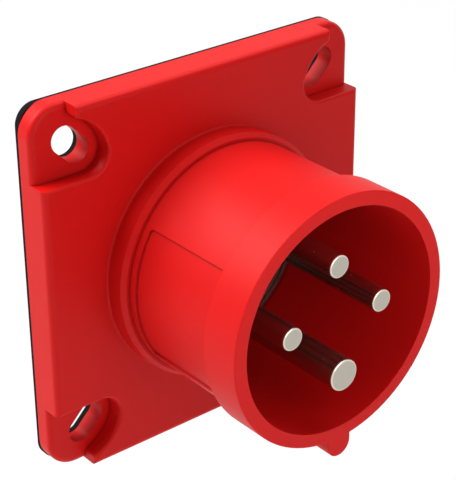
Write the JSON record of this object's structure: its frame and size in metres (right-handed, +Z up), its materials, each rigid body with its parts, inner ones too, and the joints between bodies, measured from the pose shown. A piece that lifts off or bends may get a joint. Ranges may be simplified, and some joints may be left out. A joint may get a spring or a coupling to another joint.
{
  "type": "pin and sleeve inlet",
  "caption": "Square flange panel inlet with a round keyed sleeve, a front collar, plated pins, a rubber gasket and rear screw terminals.",
  "frame": {"origin": "on the sleeve's axis, in the plane where the flange gasket meets the panel", "axes": "-Y out of the sleeve's mouth, +Y through the panel, +Z up with the key at the bottom"},
  "size_m": [0.084, 0.0781, 0.084],
  "materials": {
    "red_housing": "moulded, satin gloss",
    "black_insulator": "moulded, fine matte",
    "black_rubber": "smooth rubber",
    "plated_contacts": "nickel plated, turned",
    "steel_screws": "zinc plated"
  },
  "bodies": {
    "root": {"housing": "red_housing", "flange_gasket": "black_rubber", "contact_carrier": "black_insulator", "carrier_seal": "black_rubber", "terminal_body": "black_insulator", "retaining_ring": "black_insulator", "phase_pin_1": "plated_contacts", "phase_pin_2": "plated_contacts", "phase_pin_3": "plated_contacts", "earth_pin": "plated_contacts", "phase_terminal_screw_1": "steel_screws", "phase_terminal_screw_2": "steel_screws", "phase_terminal_screw_3": "steel_screws", "earth_terminal_screw": "steel_screws", "phase_wire_guard_1": "steel_screws", "phase_wire_guard_2": "steel_screws", "phase_wire_guard_3": "steel_screws", "earth_wire_guard": "steel_screws", "retainer_screw_1": "steel_screws", "retainer_screw_2": "steel_screws", "retainer_screw_3": "steel_screws", "center_screw": "steel_screws"}
  },
  "joints": []
}
